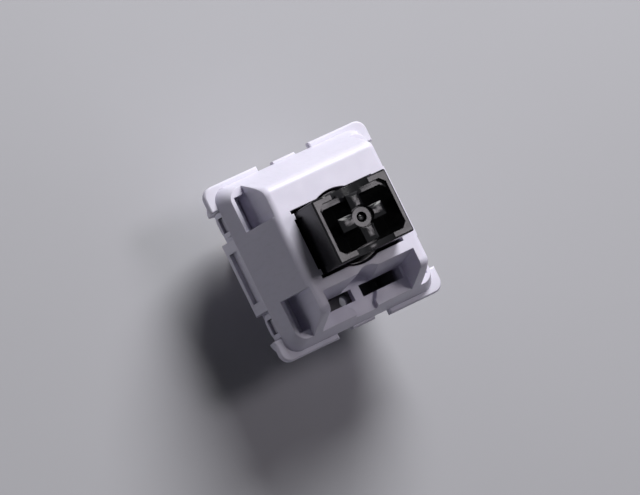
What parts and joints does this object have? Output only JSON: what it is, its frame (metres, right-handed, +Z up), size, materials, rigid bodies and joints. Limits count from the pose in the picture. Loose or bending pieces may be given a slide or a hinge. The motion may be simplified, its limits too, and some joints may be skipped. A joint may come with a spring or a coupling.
{
  "type": "keyboard switch",
  "caption": "Square push switch for a keyboard key: clipped housing with flange and board posts, sliding stem with key cross, return spring and leaf contact.",
  "frame": {"origin": "on the stem's axis, in the plane of the circuit board's top face, where the centre post leaves the housing", "axes": "+Z up along the stem, out of the key cross; +Y towards the contacts; -Y towards the lamp recess"},
  "size_m": [0.0156, 0.0156, 0.0188],
  "materials": {
    "housing_plastic": "satin moulded plastic, milky white",
    "stem_plastic": "smooth moulded plastic, black",
    "spring_wire": "drawn steel wire",
    "terminal_strip": "pressed strip, lightly tinned",
    "leaf_strip": "thin rolled spring strip",
    "contact_metal": "polished gold coloured bar"
  },
  "bodies": {
    "housing": {"bottom_housing": "housing_plastic", "top_housing": "housing_plastic", "fixed_terminal": "terminal_strip", "fixed_contact_point": "contact_metal", "moving_terminal": "terminal_strip", "return_spring": "spring_wire"},
    "slider": {"stem": "stem_plastic"},
    "leaf": {"contact_leaf": "leaf_strip", "moving_contact_point": "contact_metal"}
  },
  "joints": [
    {"name": "stem_press", "type": "slide", "parent": "housing", "child": "slider", "axis": [0, 0, 1], "range_m": [-0.004, 0], "stiffness_N_per_m": 60, "deforming": ["return_spring"]},
    {"name": "leaf_bend", "type": "hinge", "parent": "housing", "child": "leaf", "pos_m": [0, 0.00508, 0.0023], "axis": [1, 0, 0], "range_deg": [0, 5.1]}
  ],
  "couplings": [
    {"joint": "leaf_bend", "follows": "stem_press", "rad_per_m": -22}
  ]
}
